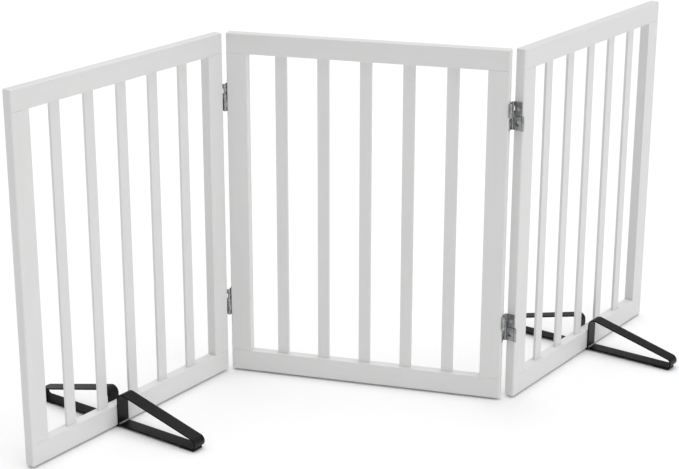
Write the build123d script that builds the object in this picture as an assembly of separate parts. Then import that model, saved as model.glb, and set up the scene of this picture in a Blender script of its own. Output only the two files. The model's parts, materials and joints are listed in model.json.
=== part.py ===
"""A free-standing folding pet gate: three slatted wooden panels joined by crossed-link
double-action hinges, with a bent steel foot under each outer panel.

Frame: +X runs along the middle panel, +Y to its rear, +Z up. The origin is on the floor
below the middle of the middle panel. Millimetres. The gate stands in a Z, its left panel
folded to the front and its right panel to the rear, so it maps onto itself when it is
turned by 180 degrees about Z.
"""

import os
from math import asin, cos, hypot, sin

from build123d import *

# ---- driving dimensions -------------------------------------------------------------
PANEL_W = 484.0  # one panel, edge to edge
PANEL_H = 610.0  # bottom face to top face
PANEL_T = 17.5  # thickness of rails and stiles
STILE_W = 36.0
TOP_RAIL_H = 35.0
BOTTOM_RAIL_H = 37.0
OUTER_ROUND = 2.5  # rounding of the frame's outside edges
INNER_ROUND = 0.8  # rounding of the edges around the opening
SLAT_W = 20.5
SLAT_T = 5.0
SLAT_ROUND = 1.0
SLAT_COUNT = 5
SLAT_PITCH = 73.7
MORTISE = 6.0  # depth that a slat's end goes into its rail
DOWEL_R = 4.0
DOWEL_L = 40.0
DOWEL_INSETS = (11.0, 25.0)  # across each stile, from the panel's edge

FOLD = 70.0  # how far each outer panel is folded out of line
GAP = 6.0  # between neighbouring panels in line

HINGE_H = 47.0
HINGE_UP = (127.0, 498.0)  # middles of the lower and upper hinge above a panel's bottom
PLATE_T = 1.2
BARREL_R = 2.3
BORE_R = BARREL_R - PLATE_T
PIN_FIT = 0.05  # radial play of a link on its pin
AXIS_OUT = 0.9  # a pin's axis stands this far outside the panel's face
KNUCKLE_H = 7.5
KNUCKLE_GAP = 0.35
PIN_DOME = 0.5
LINK_HOLE_R = 4.0  # lets a screwdriver through a link to the screw behind it
SCREW_R = 1.5
SCREW_HEAD_R = 3.3
SCREW_L = 16.0

FOOT_W = 25.0
FOOT_T = 2.4
FOOT_REACH = 168.0  # from a rail's face to the end of the foot
FOOT_TOP = 60.7
FOOT_BEND_R = 12.0  # outside radius of the bend above a leg
FOOT_TIP_R = 10.0  # outside radius of the bend at the floor
FOOT_PLAY = 0.3  # between the foot's saddle and the rail it holds
PAD_T = 3.0
PAD_L = 30.0
PAD_INSET = 1.0  # a pad is this much narrower than the strap on each side
PAD_SETBACK = 4.4  # from the end of the foot to the end of its pad
SADDLE_UP = 0.3  # underside of the saddle above the floor
SADDLE_BEND_R = 2.2

# ---- worked out from them -----------------------------------------------------------
PANEL_Z = SADDLE_UP + FOOT_T + FOOT_PLAY  # underside of the panels
HALF_T = PANEL_T / 2
AXIS_Y = HALF_T + AXIS_OUT
HALF_HINGE = HINGE_H / 2
SLAT_CENTRES = [
    PANEL_W / 2 + (i - (SLAT_COUNT - 1) / 2) * SLAT_PITCH for i in range(SLAT_COUNT)
]
# A foot stands midway between the second and third slat from the panel's free edge.
FOOT_U = (SLAT_CENTRES[1] + SLAT_CENTRES[2]) / 2
SCREW_Z = HINGE_H / 4

os.makedirs("parts", exist_ok=True)


# ---- placing ------------------------------------------------------------------------
# Each part is drawn with the gate in line, in the frame of the left side, and then moved:
# the left panel folds about its front pins, and the right side is the left side turned
# by half a turn about Z.
HINGE_X = -(PANEL_W + GAP) / 2
FRONT_PINS = Axis((HINGE_X, -AXIS_Y, 0), (0, 0, 1))


def fold(shape):
    """Turns a part of the left panel about the front pins, from in line to its stand."""
    return shape.rotate(FRONT_PINS, FOLD)


def half_turn(shape):
    """Carries a part of the left side to the same place on the right side."""
    return shape.rotate(Axis.Z, 180)


def box(x, y, z):
    """A block between two limits on each axis."""
    return Pos(sum(x) / 2, sum(y) / 2, sum(z) / 2) * Box(
        x[1] - x[0], y[1] - y[0], z[1] - z[0]
    )


def rod(radius, x, y, z):
    """An upright cylinder between two heights."""
    return Pos(x, y, sum(z) / 2) * Cylinder(radius, z[1] - z[0])


def save(name, *shapes):
    """Writes one node: one solid, or a group of alike solids."""
    shape = shapes[0] if len(shapes) == 1 else Compound(children=list(shapes))
    export_step(shape, f"parts/{name}.step")


# ---- a panel, drawn from x = 0 at its left edge, y = 0 in its mid-plane ---------------
Z_BOTTOM = PANEL_Z
Z_SILL = PANEL_Z + BOTTOM_RAIL_H
Z_HEAD = PANEL_Z + PANEL_H - TOP_RAIL_H
Z_TOP = PANEL_Z + PANEL_H
DOWEL_XS = [u for u in DOWEL_INSETS] + [PANEL_W - u for u in DOWEL_INSETS]


def rail(top):
    """A full-width rail with pockets for the slats and holes for the dowels."""
    z = (Z_HEAD, Z_TOP) if top else (Z_BOTTOM, Z_SILL)
    seam, edge = (z[0], z[1]) if top else (z[1], z[0])
    bar = box((0, PANEL_W), (-HALF_T, HALF_T), z)
    # The whole outside of the frame is rounded over, and its corners with it.
    outside = bar.edges().filter_by(Axis.Z)
    outside += [e for e in bar.edges() if abs(e.center().Z - edge) < 0.01]
    bar = fillet(outside, OUTER_ROUND)
    inside = [
        e for e in bar.edges().filter_by(Axis.X) if abs(e.center().Z - seam) < 0.01
    ]
    bar = fillet(inside, INNER_ROUND)
    inward = 1 if top else -1
    pocket_z = sorted((seam, seam + inward * MORTISE))
    for u in SLAT_CENTRES:
        bar -= box((u - SLAT_W / 2, u + SLAT_W / 2), (-SLAT_T / 2, SLAT_T / 2), pocket_z)
    hole_z = sorted((seam, seam + inward * DOWEL_L / 2))
    for u in DOWEL_XS:
        bar -= rod(DOWEL_R, u, 0, hole_z)
    return bar


def stile(left, hinged):
    """An upright between the rails, drilled at both ends, and in its edge if hinged."""
    x = (0, STILE_W) if left else (PANEL_W - STILE_W, PANEL_W)
    edge, inside = (x[0], x[1]) if left else (x[1], x[0])
    bar = box(x, (-HALF_T, HALF_T), (Z_SILL, Z_HEAD))

    uprights = bar.edges().filter_by(Axis.Z)
    bar = fillet([e for e in uprights if abs(e.center().X - inside) < 0.01], INNER_ROUND)
    uprights = bar.edges().filter_by(Axis.Z)
    bar = fillet([e for e in uprights if abs(e.center().X - edge) < 0.01], OUTER_ROUND)
    for u in DOWEL_XS:
        if x[0] < u < x[1]:
            bar -= rod(DOWEL_R, u, 0, (Z_SILL, Z_SILL + DOWEL_L / 2))
            bar -= rod(DOWEL_R, u, 0, (Z_HEAD - DOWEL_L / 2, Z_HEAD))
    if hinged:
        depth = (0, SCREW_L - PLATE_T) if left else (PANEL_W - SCREW_L + PLATE_T, PANEL_W)
        for z in screw_heights():
            hole = Cylinder(SCREW_R, depth[1] - depth[0])
            bar -= Pos(sum(depth) / 2, 0, z) * Rot(0, 90, 0) * hole
    return bar


def slat(number):
    """A thin upright with softened edges, let into both rails."""
    u = SLAT_CENTRES[number]
    bar = box(
        (u - SLAT_W / 2, u + SLAT_W / 2),
        (-SLAT_T / 2, SLAT_T / 2),
        (Z_SILL - MORTISE, Z_HEAD + MORTISE),
    )
    return fillet(bar.edges().filter_by(Axis.Z), SLAT_ROUND)


def dowels():
    """Two dowels in each of the four corners of a frame."""
    half = DOWEL_L / 2
    return [rod(DOWEL_R, u, 0, (z - half, z + half)) for u in DOWEL_XS for z in (Z_SILL, Z_HEAD)]


def hinge_heights():
    return [PANEL_Z + up for up in HINGE_UP]


def screw_heights():
    return [z + side * SCREW_Z for z in hinge_heights() for side in (-1, 1)]


def panel_parts(left_hinged, right_hinged):
    """A panel's wooden pieces by name."""
    parts = {
        "top_rail": [rail(True)],
        "bottom_rail": [rail(False)],
        "left_stile": [stile(True, left_hinged)],
        "right_stile": [stile(False, right_hinged)],
        "dowels": dowels(),
    }
    for i in range(SLAT_COUNT):
        parts[f"slat_{i + 1}"] = [slat(i)]
    return parts


LEFT_SHIFT = Pos(HINGE_X - GAP / 2 - PANEL_W, 0, 0)
MIDDLE_SHIFT = Pos(-PANEL_W / 2, 0, 0)

for name, shapes in panel_parts(True, True).items():
    save(f"middle_{name}", *[MIDDLE_SHIFT * s for s in shapes])
for name, shapes in panel_parts(False, True).items():
    placed = [fold(LEFT_SHIFT * s) for s in shapes]
    save(f"left_{name}", *placed)
    # Half a turn swaps a panel's left and right.
    swapped = {"left_stile": "right_stile", "right_stile": "left_stile"}.get(name, name)
    if name.startswith("slat_"):
        swapped = f"slat_{SLAT_COUNT + 1 - int(name[-1])}"
    save(f"right_{swapped}", *[half_turn(s) for s in placed])


# ---- a hinge, drawn about x = 0 in the gap, z = 0 at its middle ------------------------
# Each half of a hinge has a link with one barrel in front and one behind. The side leaf
# holds the front barrel of the upper link and the rear barrel of the lower link, and the
# middle leaf holds the other two. Folding to the front opens the hinge on its front pins,
# and folding to the rear opens it on its rear pins.
KNUCKLE_END = HALF_HINGE
KNUCKLE_STEP = KNUCKLE_H + KNUCKLE_GAP
OUTER_KNUCKLE = (KNUCKLE_END - KNUCKLE_H, KNUCKLE_END)
LINK_KNUCKLE = (KNUCKLE_END - KNUCKLE_STEP - KNUCKLE_H, KNUCKLE_END - KNUCKLE_STEP)
INNER_KNUCKLE = (KNUCKLE_GAP / 2, KNUCKLE_END - 2 * KNUCKLE_STEP)
PIN_SPAN = (INNER_KNUCKLE[0], KNUCKLE_END + PIN_DOME)
PLATE_HALF = HALF_T - OUTER_ROUND + 0.3  # a leaf's half width, on the flat of the edge
LINK_HALF = AXIS_Y - BARREL_R - KNUCKLE_GAP


def upper(z, half):
    """A height range of the upper half, mirrored to the lower half if half is -1."""
    return z if half > 0 else (-z[1], -z[0])


def knuckle(front, z, bore):
    """A rolled barrel round the front or rear axis."""
    y = -AXIS_Y if front else AXIS_Y
    return rod(BARREL_R, 0, y, z) - rod(bore, 0, y, z)


def leaf(side):
    """A leaf on a panel's edge: side is -1 on the outer panel, 1 on the middle panel."""
    x = sorted((side * GAP / 2, side * (GAP / 2 - PLATE_T)))
    plate = box(x, (-PLATE_HALF, PLATE_HALF), (-HALF_HINGE, HALF_HINGE))
    for half in (-1, 1):
        front = half == -side
        reach = sorted((0, -AXIS_Y if front else AXIS_Y))
        for z in (OUTER_KNUCKLE, INNER_KNUCKLE):
            span = upper(z, half)
            y = -AXIS_Y if front else AXIS_Y
            tab = box(x, reach, span) - rod(BORE_R, 0, y, span)
            plate += tab + knuckle(front, span, BORE_R - PIN_FIT)
        plate -= countersink(side, half)
    return plate


def countersink(side, half):
    """The hole for a flat-headed screw, its wide end towards the gap."""
    cone = Cone(SCREW_R, SCREW_HEAD_R, PLATE_T)
    return Pos(side * (GAP / 2 - PLATE_T / 2), 0, half * SCREW_Z) * Rot(0, -90 * side, 0) * cone


def link(half):
    """A link plate between the two axes, with a barrel at each end."""
    span = upper((INNER_KNUCKLE[0], KNUCKLE_END), half)
    plate = box((-PLATE_T / 2, PLATE_T / 2), (-LINK_HALF, LINK_HALF), span)
    middle = upper(LINK_KNUCKLE, half)
    plate += box((-PLATE_T / 2, PLATE_T / 2), (-AXIS_Y, AXIS_Y), middle)
    for front in (True, False):
        y = -AXIS_Y if front else AXIS_Y
        plate -= rod(BORE_R, 0, y, middle)
        plate += knuckle(front, middle, BORE_R)
    return plate - Pos(0, 0, half * SCREW_Z) * Rot(0, 90, 0) * Cylinder(LINK_HOLE_R, GAP)


def pin(front, z):
    """A pin that fills a leaf's bore and clears a link's."""
    return rod(BORE_R - PIN_FIT, 0, -AXIS_Y if front else AXIS_Y, z)


def middle_pins():
    """Through pins of the middle leaf: front of the lower link, rear of the upper link."""
    return [pin(True, upper(PIN_SPAN, -1)), pin(False, upper(PIN_SPAN, 1))]


def side_pins():
    """The side leaf's pins: a through pin for the lower link, and two stubs at the upper
    link's front barrel, which leave that barrel empty."""
    stubs = [pin(True, (OUTER_KNUCKLE[0], PIN_SPAN[1])), pin(True, INNER_KNUCKLE)]
    return [pin(False, upper(PIN_SPAN, -1))] + stubs


def screws(side):
    """Flat-headed cross-recess screws through a leaf into the panel's edge."""
    found = []
    for half in (-1, 1):
        head = countersink(side, half)
        length = SCREW_L - PLATE_T
        shank = Pos(side * (GAP / 2 + length / 2), 0, half * SCREW_Z) * Rot(0, 90, 0)
        face = Pos(side * (GAP / 2 - PLATE_T), 0, half * SCREW_Z)
        cross = Box(0.8, 0.7, 3.6) + Box(0.8, 3.6, 0.7)
        found.append(head + shank * Cylinder(SCREW_R, length) - face * cross)
    return found


def at_joint(shape, z):
    return Pos(HINGE_X, 0, z) * shape


for z, level in zip(hinge_heights(), ("lower", "upper")):
    pieces = {
        "side_leaf": fold(at_joint(leaf(-1), z)),
        "middle_leaf": at_joint(leaf(1), z),
        "top_link": at_joint(link(1), z),
        "bottom_link": fold(at_joint(link(-1), z)),
    }
    for name, shape in pieces.items():
        save(f"left_{level}_hinge_{name}", shape)
        save(f"right_{level}_hinge_{name}", half_turn(shape))

groups = {
    "hinge_pins_middle": (False, middle_pins()),
    "hinge_pins_side": (True, side_pins()),
    "hinge_screws_middle": (False, screws(1)),
    "hinge_screws_side": (True, screws(-1)),
}
for name, (folded, shapes) in groups.items():
    placed = [at_joint(s, z) for z in hinge_heights() for s in shapes]
    if folded:
        placed = [fold(s) for s in placed]
    save(f"left_{name}", *placed)
    save(f"right_{name}", *[half_turn(s) for s in placed])


# ---- a foot: one flat bar bent into two triangles, with a saddle for the rail between ---
def loop(inset):
    """The outline of one triangle, inset from the bar's outside, in (outward, up)."""
    foot_x, floor = FOOT_PLAY + inset, PAD_T + inset
    bend = Vector(FOOT_PLAY + FOOT_BEND_R, FOOT_TOP - FOOT_BEND_R)
    tip = Vector(FOOT_REACH - FOOT_TIP_R, PAD_T + FOOT_TIP_R)
    bend_r, tip_r = FOOT_BEND_R - inset, FOOT_TIP_R - inset
    along = tip - bend
    length = hypot(along.X, along.Y)
    lean = asin((bend_r - tip_r) / length)
    e = along * (1 / length)
    # The unit normal of the line that touches both bends from above.
    normal = Vector(-e.Y * cos(lean) + e.X * sin(lean), e.X * cos(lean) + e.Y * sin(lean))
    corner = Vector(foot_x, floor)
    leg_top = Vector(foot_x, bend.Y)
    down = bend + normal * bend_r
    out = tip + normal * tip_r
    under = Vector(tip.X, floor)
    over = bend + Vector(-1, 1).normalized() * bend_r
    nose = tip + Vector(1, 0) * tip_r
    return make_face(
        [
            Line(corner, leg_top),
            ThreePointArc(leg_top, over, down),
            Line(down, out),
            ThreePointArc(out, nose, under),
            Line(under, corner),
        ]
    )


def foot_strap():
    """Both triangles and the saddle under the rail, drawn across y = 0 about x = 0."""
    ring = extrude(loop(0) - loop(FOOT_T), FOOT_W / 2, both=True)
    # The outline's (outward, up) becomes (-y, z), measured from the rail's front face.
    front = Pos(0, -HALF_T, 0) * Rot(0, 0, -90) * Rot(90, 0, 0) * ring
    rear = front.rotate(Axis.Z, 180)
    inside = HALF_T + FOOT_PLAY
    across = inside + FOOT_T
    width = (-FOOT_W / 2, FOOT_W / 2)
    saddle = box(width, (-across, across), (SADDLE_UP, PAD_T + FOOT_T))
    corners = [e for e in saddle.edges().filter_by(Axis.X) if e.center().Z < PAD_T]
    saddle = fillet(corners, SADDLE_BEND_R)
    saddle -= box(width, (-inside, inside), (SADDLE_UP + FOOT_T, PAD_T + FOOT_T))
    return front + rear + saddle


def foot_pads():
    """A thin rubber pad under each end."""
    half_w = FOOT_W / 2 - PAD_INSET
    end = HALF_T + FOOT_REACH - PAD_SETBACK
    pad = box((-half_w, half_w), (-end, -end + PAD_L), (0, PAD_T))
    return [pad, pad.rotate(Axis.Z, 180)]


FOOT_SHIFT = LEFT_SHIFT * Pos(FOOT_U, 0, 0)
for name, shapes in {"foot_strap": [foot_strap()], "foot_pads": foot_pads()}.items():
    placed = [fold(FOOT_SHIFT * s) for s in shapes]
    save(f"left_{name}", *placed)
    save(f"right_{name}", *[half_turn(s) for s in placed])
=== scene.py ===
"""Looks of a folding pet gate: painted slatted panels, crossed-link hinges and steel feet.

Every piece is worked out in its panel's own axes, in millimetres: +X along the panel,
+Y to its rear, +Z up. It is then turned with the panel and scaled to metres.
"""

import json
from math import atan2, cos, pi, radians, sin, sqrt

import bpy
import numpy as np
from mathutils import Euler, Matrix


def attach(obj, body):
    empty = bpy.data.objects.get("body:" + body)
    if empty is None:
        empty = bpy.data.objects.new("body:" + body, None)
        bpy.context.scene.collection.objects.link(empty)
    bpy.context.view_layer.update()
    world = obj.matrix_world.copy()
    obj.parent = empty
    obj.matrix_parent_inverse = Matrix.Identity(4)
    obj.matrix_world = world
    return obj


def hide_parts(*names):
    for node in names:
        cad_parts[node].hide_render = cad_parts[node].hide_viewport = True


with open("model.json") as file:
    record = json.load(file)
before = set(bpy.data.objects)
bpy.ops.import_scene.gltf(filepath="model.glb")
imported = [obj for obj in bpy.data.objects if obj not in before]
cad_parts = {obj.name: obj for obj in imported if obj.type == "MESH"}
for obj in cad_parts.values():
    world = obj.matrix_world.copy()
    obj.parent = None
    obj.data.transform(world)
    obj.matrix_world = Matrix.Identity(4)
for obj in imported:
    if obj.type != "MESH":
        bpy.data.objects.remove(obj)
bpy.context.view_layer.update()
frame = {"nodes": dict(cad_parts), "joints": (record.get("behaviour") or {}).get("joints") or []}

MM = 0.001
SIDES = ("left", "right")
PANELS = ("left", "middle", "right")
LEVELS = ("lower", "upper")

# ---- how each panel stands --------------------------------------------------------------
# A side panel's foot slides along that panel, so the slide's axis gives the panel's turn.
slides = {j["child"]: j["axis"] for j in frame["joints"] if j["type"] == "slide"}
SIDE_TURN = atan2(slides["right_foot"][1], slides["right_foot"][0])
TURN = {"left": SIDE_TURN, "middle": 0.0, "right": SIDE_TURN}


def spin(points, angle):
    """Turns an array of points about the upright axis."""
    c, s = cos(angle), sin(angle)
    return points @ np.array([[c, s, 0.0], [-s, c, 0.0], [0.0, 0.0, 1.0]])


def own_box(node, angle):
    """Lowest and highest corner of a CAD node in axes turned by an angle, in millimetres."""
    vertices = frame["nodes"][node].data.vertices
    flat = np.empty(len(vertices) * 3, np.float32)
    vertices.foreach_get("co", flat)
    points = spin(flat.reshape(-1, 3).astype(float), -angle) / MM
    return points.min(0), points.max(0)


# ---- meshes -----------------------------------------------------------------------------
def grid_quads(rows, columns):
    """Corner numbers of the quads of a grid whose rows are closed rings: each joins a point
    to the next round its ring and to the same point of the next ring."""
    r = np.arange(rows - 1)[:, None]
    c = np.arange(columns)[None, :]
    c2 = (c + 1) % columns
    quads = [r * columns + c, r * columns + c2, (r + 1) * columns + c2, (r + 1) * columns + c]
    return np.stack(np.broadcast_arrays(*quads), -1).reshape(-1, 4).tolist()


def shell_volume(points, faces):
    """Six times the volume inside a closed shell: the sum over its triangles of the triple
    product of their corners."""
    fans = [(f[0], f[i], f[i + 1]) for f in faces for i in range(1, len(f) - 1)]
    a, b, c = (points[np.array(fans)[:, k]] for k in range(3))
    return float((a * np.cross(b, c)).sum())


def tube(rings, arris=None):
    """A shell from rings of points, each joined to the next, with flat ends. Its faces are
    turned outwards."""
    rows, columns, _ = rings.shape
    points = rings.reshape(-1, 3)
    faces = grid_quads(rows, columns)
    faces.append(list(range(columns))[::-1])
    faces.append(list(range((rows - 1) * columns, rows * columns)))
    if shell_volume(points, faces) < 0:
        faces = [f[::-1] for f in faces]
    worn = np.zeros((rows, columns)) if arris is None else arris
    return points, faces, worn.reshape(-1)


def make_piece(name, shells, body, finish, nodes=(), sharp=32.0):
    """Joins shells, given in metres, into one piece that rides a body. Edges that turn by
    more than the sharp angle stay crisp."""
    starts = np.cumsum([0] + [len(s[0]) for s in shells[:-1]])
    points = np.concatenate([s[0] for s in shells])
    faces = [[k + int(start) for k in f] for s, start in zip(shells, starts) for f in s[1]]
    mesh = bpy.data.meshes.new(name)
    mesh.from_pydata(points.tolist(), [], faces)
    attribute = mesh.attributes.new("arris", "FLOAT", "POINT")
    attribute.data.foreach_set("value", np.concatenate([s[2] for s in shells]).astype(np.float32))
    mesh.shade_smooth()
    mesh.set_sharp_from_angle(angle=radians(sharp))
    mesh.materials.append(finish)
    piece = bpy.data.objects.new(name, mesh)
    bpy.context.scene.collection.objects.link(piece)
    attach(piece, body)
    if nodes:
        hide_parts(*nodes)
    return piece


def stand(shell, angle, half_turn=False):
    """Carries a shell from a panel's own axes, in millimetres, to where it stands."""
    points, faces, worn = shell
    return spin(points, angle + (pi if half_turn else 0.0)) * MM, faces, worn


# ---- outlines ---------------------------------------------------------------------------
CORNER_STEPS = 6
HOLD = 0.35  # an extra point this far before and after each corner keeps the flats flat
CORNERS = ((1, 1), (-1, 1), (-1, -1), (1, -1))  # anticlockwise, as signs of the two axes


def soft_rectangle(low, high, radii):
    """A rectangle between two corners with a quarter circle at each of its own: points at
    equal angles on each quarter, and one on the flat at either side of it. Radii run
    anticlockwise from the corner at +, +. Also gives 1 on a quarter and 0 on the flats."""
    points, worn = [], []
    for k, (radius, (sx, sy)) in enumerate(zip(radii, CORNERS)):
        corner = np.array([(high if sx > 0 else low)[0], (high if sy > 0 else low)[1]])
        centre = corner - radius * np.array([sx, sy])
        a = np.linspace(k * pi / 2, (k + 1) * pi / 2, CORNER_STEPS + 1)
        quarter = centre + radius * np.stack([np.cos(a), np.sin(a)], 1)
        first = quarter[0] + HOLD * np.array([np.sin(a[0]), -np.cos(a[0])])
        last = quarter[-1] + HOLD * np.array([-np.sin(a[-1]), np.cos(a[-1])])
        points += [first[None], quarter, last[None]]
        worn += [0.0] + [1.0] * len(quarter) + [0.0]
    return np.concatenate(points), np.array(worn)


END_STEPS = 6
END_HOLD = 6.0  # from the end of the rounding to the next ring
SHARPEST = 0.05  # smallest corner radius
TENON = 6.0  # how deep a slat goes into its rail
POOL_DEPTHS = np.array([0.0, 0.15, 0.4, 0.8, 1.4, 2.4, 4.5, 12.0])  # beyond the rail's edge
POOL_REACH = 0.7


def bar(low, high, axis, radii, ease, flush=None, pool=0.0):
    """A softened bar between two corners. Its section is a soft rectangle, carried along
    the axis. At each end the section is inset by the ease times one minus the sine of an
    angle, and moves in by the ease times one minus its cosine, which rounds the end over.
    A flush side, given as (axis, sign), keeps its place there. Where paint pools, the
    section swells beyond each tenon by the pool times exp(-distance / reach)."""
    across = [k for k in range(3) if k != axis]
    length = high[axis] - low[axis]
    if pool:
        insets = -pool * np.exp(-POOL_DEPTHS / POOL_REACH)
        places = np.concatenate([[0.0], POOL_DEPTHS + TENON])
        insets = np.concatenate([insets[:1], insets])
    else:
        angles = np.linspace(0, pi / 2, END_STEPS + 1)
        insets = np.append(ease * (1 - np.sin(angles)), 0.0)
        places = np.append(ease * (1 - np.cos(angles)), ease + END_HOLD)
    ends = insets > 0
    places = np.concatenate([places, length - places[::-1]])
    insets = np.concatenate([insets, insets[::-1]])
    ends = np.concatenate([ends, ends[::-1]])
    rings, worn = [], []
    for place, inset, end in zip(places, insets, ends):
        near, far = low[across] + inset, high[across] - inset
        kept = np.maximum(np.array(radii) - inset, SHARPEST)
        if flush is not None:
            k, sign = across.index(flush[0]), flush[1]
            (near if sign < 0 else far)[k] += sign * inset
            seam = [i for i, c in enumerate(CORNERS) if c[k] == sign]
            kept[seam] = np.array(radii)[seam]
        outline, on_arc = soft_rectangle(near, far, kept)
        ring = np.empty((len(outline), 3))
        ring[:, across] = outline
        ring[:, axis] = low[axis] + place
        rings.append(ring)
        worn.append(np.maximum(on_arc, 1.0 if end else 0.0))
    return tube(np.array(rings), np.array(worn))


def lathe(profile, base, direction, steps):
    """A profile of (along, radius) turned about a line from base in a direction."""
    d = np.array(direction, float)
    side = np.cross(d, [0.0, 0.0, 1.0] if abs(d[2]) < 0.9 else [1.0, 0.0, 0.0])
    side /= np.linalg.norm(side)
    other = np.cross(d, side)
    a = np.linspace(0, 2 * pi, steps, endpoint=False)
    ring = np.cos(a)[:, None] * side + np.sin(a)[:, None] * other
    profile = np.array(profile, float)
    return tube(base + profile[:, :1, None] * d + profile[:, 1:, None] * ring)


# ---- shader maths -----------------------------------------------------------------------
class Value:
    """A number socket of a material, which arithmetic turns into Math nodes."""

    def __init__(self, finish, socket):
        self.finish, self.socket = finish, socket

    def maths(self, operation, *terms):
        return self.finish.node("ShaderNodeMath", {"operation": operation}, dict(enumerate(terms)))

    def __add__(self, other):
        return self.maths("ADD", self, other)

    def __sub__(self, other):
        return self.maths("SUBTRACT", self, other)

    def __rsub__(self, other):
        return self.maths("SUBTRACT", other, self)

    def __mul__(self, other):
        return self.maths("MULTIPLY", self, other)

    __radd__, __rmul__ = __add__, __mul__

    def above(self, start, end):
        """Rises smoothly from 0 at start to 1 at end."""
        settings = {"interpolation_type": "SMOOTHSTEP"}
        sockets = {"Value": self, "From Min": start, "From Max": end}
        return self.finish.node("ShaderNodeMapRange", settings, sockets)


class Finish:
    """A material with one Principled surface."""

    def __init__(self, name, **constants):
        self.material = bpy.data.materials.new(name)
        self.material.use_nodes = True
        self.tree = self.material.node_tree
        self.surface = self.tree.nodes["Principled BSDF"]
        self.feed(self.surface, constants)

    def feed(self, node, sockets):
        """Sets a node's sockets, by name or number, to values or to other sockets."""
        for key, value in sockets.items():
            if isinstance(key, str):
                key = key.replace("_", " ")
            if isinstance(value, Value):
                self.tree.links.new(value.socket, node.inputs[key])
            else:
                node.inputs[key].default_value = value

    def node(self, kind, settings=None, sockets=None, out=0):
        """Adds a node: its settings are set first, and then its sockets."""
        node = self.tree.nodes.new(kind)
        for key, value in (settings or {}).items():
            setattr(node, key, value)
        self.feed(node, sockets or {})
        return Value(self, node.outputs[out])

    def millimetres(self, angle=0.0):
        """Object coordinates in millimetres, in axes turned by an angle about the upright."""
        place = self.node("ShaderNodeTexCoord", out="Object")
        turn = {"Vector": place, "Rotation": (0.0, 0.0, -angle), "Scale": (1000.0,) * 3}
        return self.node("ShaderNodeMapping", {"vector_type": "POINT"}, turn)

    def stretched(self, place, sizes):
        """Coordinates divided by a size along each axis."""
        divide = {0: place, 1: tuple(1 / s for s in sizes)}
        return self.node("ShaderNodeVectorMath", {"operation": "MULTIPLY"}, divide)

    def noise(self, place, sizes, detail=2.0, roughness=0.5, distortion=0.0):
        """Noise from 0 to 1 whose features have about the given size along each axis."""
        sockets = {"Vector": self.stretched(place, sizes), "Scale": 1.0, "Detail": detail,
                   "Roughness": roughness, "Distortion": distortion}
        return self.node("ShaderNodeTexNoise", None, sockets, out="Fac")

    def arris(self):
        """The piece's own attribute: 1 on its rounded edges."""
        return self.node("ShaderNodeAttribute", {"attribute_name": "arris"}, out="Fac")

    def mix(self, factor, first, second):
        """A colour between two others. A Mix node's colour sockets are numbers 6 and 7."""
        colours = [c if isinstance(c, Value) else (*c, 1.0) for c in (first, second)]
        sockets = {0: factor, 6: colours[0], 7: colours[1]}
        return self.node("ShaderNodeMix", {"data_type": "RGBA"}, sockets, out=2)

    def bump(self, height, depth, strength=1.0, normal=None):
        """A surface normal from a height of 0 to 1, over a depth in millimetres."""
        sockets = {"Height": height, "Distance": depth * MM, "Strength": strength}
        if normal is not None:
            sockets["Normal"] = normal
        return self.node("ShaderNodeBump", None, sockets)

    def done(self, **links):
        """Feeds the surface and gives the finished material."""
        self.feed(self.surface, links)
        return self.material


# ---- finishes ---------------------------------------------------------------------------
def white_paint(name, angle, grain):
    """Satin white paint over wood: a faint long grain telegraphs through the film, with
    fine peel from the spray, slow drifts in tone, and a thinner film on the arrises."""
    f = Finish(name, Specular_IOR_Level=0.5)
    place = f.millimetres(angle)

    def sizes(along, across):
        return tuple(along if k == grain else across for k in range(3))

    figure = f.noise(place, sizes(140.0, 3.2), detail=4.0, roughness=0.6, distortion=0.4)
    pores = f.noise(place, sizes(11.0, 0.45), detail=1.0).above(0.62, 0.74)
    drift = f.noise(place, sizes(160.0, 55.0), detail=2.0)
    peel = f.noise(place, (0.9, 0.9, 0.9), detail=1.5)
    scuff = f.noise(place, (34.0, 34.0, 34.0), detail=5.0, roughness=0.7).above(0.62, 0.78)
    arris = f.arris()
    tone = f.mix(drift.above(0.25, 0.75), (0.735, 0.735, 0.732), (0.755, 0.755, 0.752))
    tone = f.mix(figure.above(0.35, 0.8) * 0.22, tone, (0.69, 0.688, 0.68))
    tone = f.mix(pores * 0.16, tone, (0.61, 0.605, 0.59))
    tone = f.mix(scuff * 0.18, tone, (0.68, 0.677, 0.668))
    tone = f.mix(arris * 0.12, tone, (0.70, 0.697, 0.685))
    gloss = 0.40 + drift * 0.10 + scuff * 0.12 + pores * 0.08 - arris * 0.04
    normal = f.bump(figure, 0.10, 0.55)
    normal = f.bump(1 - pores, 0.05, 0.45, normal)
    normal = f.bump(peel, 0.035, 0.5, normal)
    return f.done(Base_Color=tone, Roughness=gloss, Normal=normal)


def zinc(name, angle, light=(0.44, 0.445, 0.45), deep=(0.25, 0.253, 0.256)):
    """Zinc plate on rolled steel: fine draw lines, a patchy grey bloom and small stains."""
    f = Finish(name, Metallic=1.0)
    place = f.millimetres(angle)
    lines = f.noise(place, (0.12, 0.12, 9.0), detail=2.0)
    bloom = f.noise(place, (6.0, 6.0, 6.0), detail=4.0, roughness=0.65)
    stain = f.noise(place, (1.6, 1.6, 1.6), detail=3.0).above(0.6, 0.75)
    tone = f.mix(bloom.above(0.3, 0.75), light, deep)
    tone = f.mix(stain * 0.4, tone, (0.13, 0.128, 0.12))
    gloss = 0.30 + bloom * 0.18 + stain * 0.15
    normal = f.bump(lines, 0.02, 0.5)
    normal = f.bump(bloom, 0.05, 0.35, normal)
    return f.done(Base_Color=tone, Roughness=gloss, Normal=normal)


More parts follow.
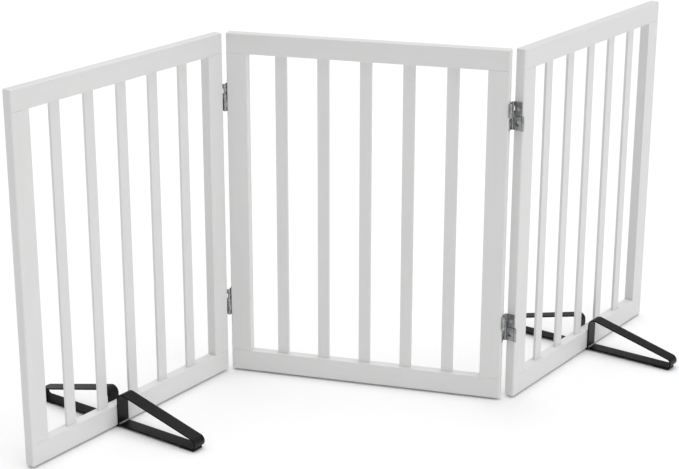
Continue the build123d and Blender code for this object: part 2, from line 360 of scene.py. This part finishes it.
def powder_coat(name, gloss, low, high, **constants):
    """Black powder coat: a fine pebbled skin over slower waves, a little dust in it, and
    chips through to grey along the arrises."""
    f = Finish(name, **constants)
    place = f.millimetres(SIDE_TURN)
    pebble = f.noise(place, (1.1, 1.1, 1.1), detail=2.5)
    wave = f.noise(place, (5.0, 5.0, 5.0), detail=2.0)
    dust = f.noise(place, (22.0, 22.0, 22.0), detail=5.0, roughness=0.7).above(0.5, 0.8)
    chips = f.noise(place, (2.2, 2.2, 2.2), detail=3.0).above(0.63, 0.70) * f.arris()
    tone = f.mix(wave, low, high)
    tone = f.mix(dust * 0.06, tone, (0.10, 0.099, 0.095))
    tone = f.mix(chips * 0.4, tone, (0.09, 0.09, 0.09))
    roughness = gloss + pebble * 0.12 + dust * 0.14
    normal = f.bump(pebble, 0.10, 0.5)
    normal = f.bump(wave, 0.18, 0.35, normal)
    return f.done(Base_Color=tone, Roughness=roughness, Normal=normal)


def foot_face():
    """The flat bar's faces: satin."""
    return powder_coat("foot_black_satin", 0.34, (0.004, 0.004, 0.0044), (0.008, 0.008, 0.0084),
                       Specular_IOR_Level=0.2)


def foot_edge_painted_shade():
    """The bar's cut edges, where the coat is thick and dull; its colour there is also darker, as
    painted shade.
    """
    # painted shade: a darker, less reflective copy of the black coat, for the edges
    return powder_coat("foot_black_edge_painted_shade", 0.55, (0.003, 0.003, 0.003), (0.006, 0.006, 0.006),
                       Specular_IOR_Level=0.05)


def weld_bead():
    """A weld bead under a thin coat, with light grey metal in patches: partly bare metal through
    the coat, partly a painted highlight for the light line along the weld.
    """
    f = Finish("foot_weld", Specular_IOR_Level=0.6)
    place = f.millimetres(SIDE_TURN)
    pebble = f.noise(place, (0.7, 0.7, 0.7), detail=3.0)
    # light grey patches: partly bare metal, partly painted highlight
    bare_metal_and_highlight = f.noise(place, (1.8, 1.8, 1.8), detail=2.0).above(0.35, 0.6)
    tone = f.mix(bare_metal_and_highlight, (0.10, 0.10, 0.10), (0.42, 0.42, 0.41))
    return f.done(Base_Color=tone, Metallic=bare_metal_and_highlight * 0.7, Roughness=0.34 + pebble * 0.2,
                  Normal=f.bump(pebble, 0.12, 0.6))


def rubber():
    """Matt black rubber with a mould's fine grain and grey dust in its low places."""
    f = Finish("pad_rubber", Specular_IOR_Level=0.3)
    place = f.millimetres(SIDE_TURN)
    grain = f.noise(place, (0.5, 0.5, 0.5), detail=2.0)
    dust = f.noise(place, (7.0, 7.0, 7.0), detail=5.0).above(0.45, 0.75)
    tone = f.mix(dust * 0.3, (0.018, 0.018, 0.018), (0.07, 0.068, 0.064))
    return f.done(Base_Color=tone, Roughness=0.66 + dust * 0.2, Normal=f.bump(grain, 0.05, 0.7))


def beech():
    """Bare beech: straight pale grain with short dark flecks."""
    f = Finish("dowel_beech", Specular_IOR_Level=0.4)
    place = f.millimetres()
    figure = f.noise(place, (1.4, 1.4, 30.0), detail=4.0)
    fleck = f.noise(place, (0.3, 0.3, 2.4), detail=1.0).above(0.62, 0.7)
    tone = f.mix(figure, (0.58, 0.40, 0.24), (0.72, 0.55, 0.36))
    tone = f.mix(fleck * 0.6, tone, (0.36, 0.21, 0.11))
    gloss = 0.55 + figure * 0.15
    return f.done(Base_Color=tone, Roughness=gloss, Normal=f.bump(figure, 0.06, 0.6))


# ---- panels -----------------------------------------------------------------------------
FRAME_OUT = 2.5
FRAME_IN = 0.8
STILE_EASE = 0.3
SLAT_ROUND = 1.0
SLAT_POOL = 0.3

for panel in PANELS:
    turn = TURN[panel]
    rail_paint = white_paint(f"{panel}_rail_paint", turn, 0)
    upright_paint = white_paint(f"{panel}_upright_paint", turn, 2)
    bars = {}
    for place, seam in (("top", -1), ("bottom", 1)):
        up, down = (FRAME_OUT, FRAME_IN) if seam < 0 else (FRAME_IN, FRAME_OUT)
        bars[f"{place}_rail"] = (0, (up, up, down, down), FRAME_OUT, (2, seam), 0.0)
    for place in ("left", "right"):
        on_left, on_right = (FRAME_OUT, FRAME_IN) if place == "left" else (FRAME_IN, FRAME_OUT)
        radii = (on_right, on_left, on_left, on_right)
        bars[f"{place}_stile"] = (2, radii, STILE_EASE, None, 0.0)
    for number in range(1, 6):
        bars[f"slat_{number}"] = (2, (SLAT_ROUND,) * 4, 0.0, None, SLAT_POOL)
    for name, (axis, *shape) in bars.items():
        node = f"{panel}_{name}"
        shell = stand(bar(*own_box(node, turn), axis, *shape), turn)
        finish = rail_paint if axis == 0 else upright_paint
        make_piece(f"{node}_piece", [shell], f"{panel}_panel", finish, [node])

# ---- feet -------------------------------------------------------------------------------
STRAP_HALF_W = 12.5
STRAP_T = 2.4
STRAP_EASE = 0.5
PAD_T = 3.0
HALF_RAIL = 8.75
PLAY = 0.3
REACH = 168.0
BEND_R = 12.0  # outside radii
TIP_R = 10.0
FOOT_TOP = 60.7
SADDLE_UP = 0.3
SADDLE_R = 1.3  # inside radius of the saddle's corners


def arc(centre, radius, start, end, steps=18):
    """Points on an arc, and the direction from its centre at each."""
    a = np.linspace(start, end, steps)
    out = np.stack([np.cos(a), np.sin(a)], 1)
    return np.array(centre) + radius * out, out


def strap_path():
    """The strap's middle line in (out from the panel's middle, up). It runs from one leg's
    weld along the floor, round the tip, up the line that touches both bends, round the
    bend, down the leg, under the rail and on to the same on the far side. Also gives the
    direction out of the triangle at each point."""
    half = STRAP_T / 2
    leg = HALF_RAIL + PLAY + half
    floor = PAD_T + half
    bend = np.array([HALF_RAIL + PLAY + BEND_R, FOOT_TOP - BEND_R])
    tip = np.array([HALF_RAIL + REACH - TIP_R, PAD_T + TIP_R])
    rise = bend - tip
    slope = atan2(rise[1], -rise[0]) + np.arcsin((BEND_R - TIP_R) / np.hypot(*rise))
    xs = np.array([leg + half, leg + 3, leg + 20, tip[0] - 20, tip[0] - 2])
    along = np.stack([xs, np.full_like(xs, floor)], 1), np.tile([0.0, -1.0], (len(xs), 1))
    around = arc(tip, TIP_R - half, -pi / 2, pi / 2 - slope, 28)
    over = arc(bend, BEND_R - half, pi / 2 - slope, pi)
    corner_r = SADDLE_R + half
    corner = np.array([leg - corner_r, SADDLE_UP + half + corner_r])
    leg_z = np.array([bend[1] - 2, bend[1] - 12, floor + 12, corner[1] + 1])
    down = np.stack([np.full_like(leg_z, leg), leg_z], 1), np.tile([-1.0, 0.0], (len(leg_z), 1))
    under = arc(corner, corner_r, 0, -pi / 2, 9)
    under = under[0], -under[1]
    middle = np.array([[corner[0] - 1, SADDLE_UP + half], [0, SADDLE_UP + half]])
    run = middle, np.tile([0.0, 1.0], (2, 1))
    parts = (along, around, over, down, under, run)
    points, out = (np.concatenate([part[k] for part in parts]) for k in (0, 1))
    flip = np.array([-1.0, 1.0])
    return (np.concatenate([points, points[-2::-1] * flip]),
            np.concatenate([out, out[-2::-1] * flip]))


def strap():
    """The flat bar: a soft rectangle carried along the strap's path."""
    corner = np.array([STRAP_HALF_W, STRAP_T / 2])
    outline, on_arc = soft_rectangle(-corner, corner, (STRAP_EASE,) * 4)
    path, out = strap_path()
    rings = np.empty((len(path), len(outline), 3))
    rings[:, :, 0] = outline[None, :, 0]
    rings[:, :, 1:] = path[:, None, :] + outline[None, :, 1, None] * out[:, None, :]
    return tube(rings, np.tile(on_arc, (len(path), 1)))


WELD_R = 2.3
WELD_PITCH = 2.3
WELD_RIPPLE = 0.14  # of its radius
WELD_HOLLOW = 0.18
WELD_SHORT = 0.8  # from a weld's end to the strap's edge
WELD_SUNK = 0.3  # keeps its corner inside both bars


def weld(side):
    """A fillet weld in the corner between a leg and the floor strap: a quarter round
    across the strap, whose radius ripples by the absolute sine of the distance and falls
    to nothing at both ends like the edge of an ellipse."""
    x = np.linspace(-1, 1, 97)
    reach = STRAP_HALF_W - WELD_SHORT
    end = np.clip(1 - np.abs(x) ** 14, 0.02, 1) ** 0.5
    ripple = np.abs(np.sin(pi * x * reach / WELD_PITCH))
    radius = WELD_R * end * (1 - WELD_RIPPLE + WELD_RIPPLE * ripple)
    a = np.linspace(0, pi / 2, 9)
    corner = np.array([HALF_RAIL + PLAY, PAD_T]) + STRAP_T - WELD_SUNK
    rings = np.empty((len(x), len(a) + 1, 3))
    rings[:, :, 0] = (x * reach)[:, None]
    rings[:, 0, 1:] = corner
    belly = 1 - WELD_HOLLOW * np.sin(2 * a)
    rings[:, 1:, 1] = corner[0] + radius[:, None] * np.cos(a) * belly
    rings[:, 1:, 2] = corner[1] + radius[:, None] * np.sin(a) * belly
    rings[:, :, 1] *= side
    return tube(rings)


PAD_HALF_W = 11.5
PAD_L = 30.0
PAD_SETBACK = 4.4
PAD_CORNER = 1.6


def pad(side):
    """A rubber pad: soft rectangles stacked upwards, inset by a quarter round at the floor
    and again below the strap."""
    end = HALF_RAIL + REACH - PAD_SETBACK
    heights = np.array([0.0, 0.12, 0.35, 0.7, 1.6, 2.3, 2.7, 2.9, PAD_T])
    insets = np.array([0.6, 0.3, 0.1, 0.0, 0.0, 0.0, 0.08, 0.2, 0.4])
    rings, worn = [], []
    for height, inset in zip(heights, insets):
        near = np.array([-PAD_HALF_W, end - PAD_L]) + inset
        far = np.array([PAD_HALF_W, end]) - inset
        outline, on_arc = soft_rectangle(near, far, (PAD_CORNER,) * 4)
        level = np.full(len(outline), height)
        rings.append(np.column_stack([outline[:, 0], side * outline[:, 1], level]))
        worn.append(on_arc)
    return tube(np.array(rings), np.array(worn))


# the edge coat is a darker copy of the face coat, as painted shade; the weld's light grey is
# partly painted highlight
powder, shaded_edge_coat, bead_finish = foot_face(), foot_edge_painted_shade(), weld_bead()
pad_rubber = rubber()


def dull_and_shade_edges(foot):
    """Gives the cut edges, which face along the panel, the duller coat, whose darker colour is
    painted shade chosen by the way each face points.
    """
    foot.data.materials.append(shaded_edge_coat)
    normals = np.empty(len(foot.data.polygons) * 3, np.float32)
    foot.data.polygons.foreach_get("normal", normals)
    along = np.array([cos(SIDE_TURN), sin(SIDE_TURN), 0.0])
    sideways = np.abs(normals.reshape(-1, 3) @ along) > 0.6
    foot.data.polygons.foreach_set("material_index", sideways.astype(np.int32))


for side in SIDES:
    low, high = own_box(f"{side}_foot_strap", SIDE_TURN)
    centre = np.array([(low[0] + high[0]) / 2, (low[1] + high[1]) / 2, 0.0])

    def at_foot(shell):
        points, faces, worn = shell
        return stand((points + centre, faces, worn), SIDE_TURN)

    body = f"{side}_foot"
    foot = make_piece(f"{side}_foot_bar", [at_foot(strap())], body, powder,
                      [f"{side}_foot_strap"])
    # painted shade: the edge faces take the darker copy of the coat
    dull_and_shade_edges(foot)
    beads = [at_foot(weld(k)) for k in (-1, 1)]
    make_piece(f"{side}_foot_welds", beads, body, bead_finish, sharp=60.0)
    pads = [at_foot(pad(k)) for k in (-1, 1)]
    make_piece(f"{side}_foot_pads_piece", pads, body, pad_rubber,
               [f"{side}_foot_pads"])

# ---- hinges -----------------------------------------------------------------------------
def refinish(node, finish):
    """Gives a CAD node's own mesh a material."""
    materials = frame["nodes"][node].data.materials
    materials.clear()
    materials.append(finish)


zinc_straight, zinc_turned = zinc("hinge_zinc_middle", 0.0), zinc("hinge_zinc_side", SIDE_TURN)
for side in SIDES:
    for level in LEVELS:
        for part, finish in (("middle_leaf", zinc_straight), ("top_link", zinc_straight),
                             ("side_leaf", zinc_turned), ("bottom_link", zinc_turned)):
            refinish(f"{side}_{level}_hinge_{part}", finish)

HINGE_X = -245.0  # middle of the gap on the left of the middle panel
AXIS_Y = 9.65  # a pin's axis in front of or behind the middle of a panel
HINGE_MIDDLES = (130.0, 501.0)
PIN_R = 1.05
PIN_DOME = 0.5
DOME_END = pi / 2 - 0.25  # the dome stops short of a point
PIN_EDGE = 0.1
PIN_SPAN = (0.175, 24.0)
STUBS = ((16.0, 24.0), (0.175, 7.8))
SCREW_UP = 11.75
SCREW_FACE = 1.8  # a screw's face from the middle of the gap
SCREW_L = 16.0
HEAD_R = 3.3
HEAD_T = 1.2
SHANK_R = 1.5
CROSS_ARM = 1.8
CROSS_HALF_W = 0.35
CROSS_DEEP = 0.4
CROSS_EDGE = 0.1  # half the width over which the recess falls away
SCREW_POINT = 3.0
RIM = 0.12
RIM_DROP = 0.06
PIN_STEPS, SCREW_STEPS = 28, 72


def at_hinge(shell, up, side, folded):
    """Carries a shell drawn about the middle of a left hinge to where it stands: a side
    panel's part turns about the front pins, and the right side is half a turn away."""
    points, faces, worn = shell
    points = points + np.array([0.0, AXIS_Y, up])
    if folded:
        points = spin(points, SIDE_TURN)
    points = points + np.array([HINGE_X, -AXIS_Y, 0.0])
    return stand((points, faces, worn), 0.0, side == "right")


def pin(front, low, high):
    """An upright pin with one domed end, the one further from the hinge's middle: the
    dome's radius falls as the cosine of an angle while its height rises as the sine."""
    start, end = (low, high) if abs(high) > abs(low) else (high, low)
    way = 1.0 if end > start else -1.0
    a = np.linspace(0, DOME_END, 6)
    rise = abs(end - start) - PIN_DOME * (1 - np.sin(a) / np.sin(a[-1]))
    dome = np.stack([rise, PIN_R * np.cos(a)], 1)
    profile = np.concatenate([[[0.0, PIN_R - PIN_EDGE], [PIN_EDGE, PIN_R]], dome])
    base = np.array([0.0, -AXIS_Y if front else AXIS_Y, start])
    return lathe(profile, base, (0.0, 0.0, way), PIN_STEPS)


def screw(side_sign, half):
    """A flat-headed screw on polar rings. Its face sinks into a cross: at (u, v) by the
    depth times the larger of in(u, width) in(v, arm) and in(v, width) in(u, arm), where
    in(t, e) falls smoothly from 1 to 0 as the size of t passes e. A cone and a shank, with
    a pointed end, follow behind."""
    a = np.linspace(0, 2 * pi, SCREW_STEPS, endpoint=False)

    def inside(t, edge):
        k = np.clip((edge + CROSS_EDGE - np.abs(t)) / (2 * CROSS_EDGE), 0, 1)
        return k * k * (3 - 2 * k)

    radii = np.concatenate([np.linspace(0.06, 2.1, 22), [2.6, HEAD_R - RIM, HEAD_R]])
    u, v = radii[:, None] * np.cos(a), radii[:, None] * np.sin(a)
    cross = np.maximum(inside(u, CROSS_HALF_W) * inside(v, CROSS_ARM),
                       inside(v, CROSS_HALF_W) * inside(u, CROSS_ARM))
    depth = CROSS_DEEP * cross
    depth[-1] = RIM_DROP
    behind = np.array([(HEAD_T, SHANK_R), (SCREW_L - SCREW_POINT, SHANK_R), (SCREW_L, 0.4)])
    depth = np.concatenate([depth, np.repeat(behind[:, :1], SCREW_STEPS, 1)])
    radii = np.concatenate([radii, behind[:, 1]])[:, None]
    rings = np.empty((len(radii), SCREW_STEPS, 3))
    rings[:, :, 0] = side_sign * (SCREW_FACE + depth)
    rings[:, :, 1] = radii * np.cos(a)
    rings[:, :, 2] = half * SCREW_UP + radii * np.sin(a)
    return tube(rings)


def held_pins(part):
    """The pins a leaf holds: the middle leaf's through pins, or the side leaf's through pin
    and the two stubs beside the upper link's empty barrel."""
    low, high = PIN_SPAN
    if part == "middle":
        return [pin(True, -high, -low), pin(False, low, high)]
    return [pin(False, -high, -low)] + [pin(True, *span) for span in STUBS]


bright_zinc = zinc("screw_zinc", 0.0, (0.72, 0.72, 0.73), (0.52, 0.52, 0.53))
for side in SIDES:
    for part, sign in (("middle", 1), ("side", -1)):
        body = "middle_panel" if part == "middle" else f"{side}_panel"
        folded = part == "side"
        shells = {"pins": held_pins(part), "screws": [screw(sign, half) for half in (-1, 1)]}
        for group, parts in shells.items():
            placed = [at_hinge(shell, up, side, folded) for up in HINGE_MIDDLES for shell in parts]
            slot = "hinge_steel" if group == "pins" else "screw_steel"
            node = f"{side}_hinge_{group}_{part}"
            make_piece(f"{node}_piece", placed, body, bright_zinc, [node])

bare_beech = beech()
for panel in PANELS:
    refinish(f"{panel}_dowels", bare_beech)

# ---- floor, light and camera ------------------------------------------------------------
FLOOR_HALF = 30.0
FLOOR_DROP = 0.0002  # keeps the floor clear of the pads' undersides


def floor_piece():
    """A wide flat floor, in a plain pale finish."""
    f = Finish("floor_pale", Roughness=0.9, Specular_IOR_Level=0.1)
    place = f.millimetres()
    drift = f.noise(place, (900.0, 900.0, 900.0))
    finish = f.done(Base_Color=f.mix(drift, (0.955, 0.955, 0.955), (0.965, 0.965, 0.965)))
    mesh = bpy.data.meshes.new("floor")
    corners = [(-1, -1), (1, -1), (1, 1), (-1, 1)]
    points = [(x * FLOOR_HALF, y * FLOOR_HALF, -FLOOR_DROP) for x, y in corners]
    mesh.from_pydata(points, [], [(0, 1, 2, 3)])
    mesh.materials.append(finish)
    floor = bpy.data.objects.new("floor", mesh)
    bpy.context.scene.collection.objects.link(floor)


def soft_sun(name, towards, power, spread):
    """A distant light in a direction, spread over an angle in degrees."""
    light = bpy.data.lights.new(name, "SUN")
    light.energy, light.angle = power, radians(spread)
    lamp = bpy.data.objects.new(name, light)
    flat = sqrt(towards[0] ** 2 + towards[1] ** 2)
    lamp.rotation_euler = Euler((atan2(flat, towards[2]), 0.0, atan2(towards[0], -towards[1])))
    bpy.context.scene.collection.objects.link(lamp)


def surroundings(strength):
    """An even white world."""
    world = bpy.data.worlds.new("studio")
    world.use_nodes = True
    back = world.node_tree.nodes["Background"]
    back.inputs["Color"].default_value = (1.0, 1.0, 1.0, 1.0)
    back.inputs["Strength"].default_value = strength
    bpy.context.scene.world = world


floor_piece()
surroundings(0.40)
soft_sun("overhead", (0.0, 0.1, 1.0), 1.95, 60.0)
soft_sun("from_right", (0.85, -0.35, 0.40), 0.62, 50.0)

LENS = 91.01
SENSOR = 36.0
CAMERA_AT = (0.71304, -2.67515, 1.22847)
CAMERA_TURN = (71.0057, -0.0636, 15.8544)  # degrees
camera = bpy.data.objects.new("camera", bpy.data.cameras.new("camera"))
camera.data.lens = LENS
camera.data.sensor_width = SENSOR
camera.location = CAMERA_AT
camera.rotation_euler = Euler([radians(a) for a in CAMERA_TURN])
bpy.context.scene.collection.objects.link(camera)
bpy.context.scene.camera = camera
bpy.context.scene.view_settings.view_transform = "Standard"
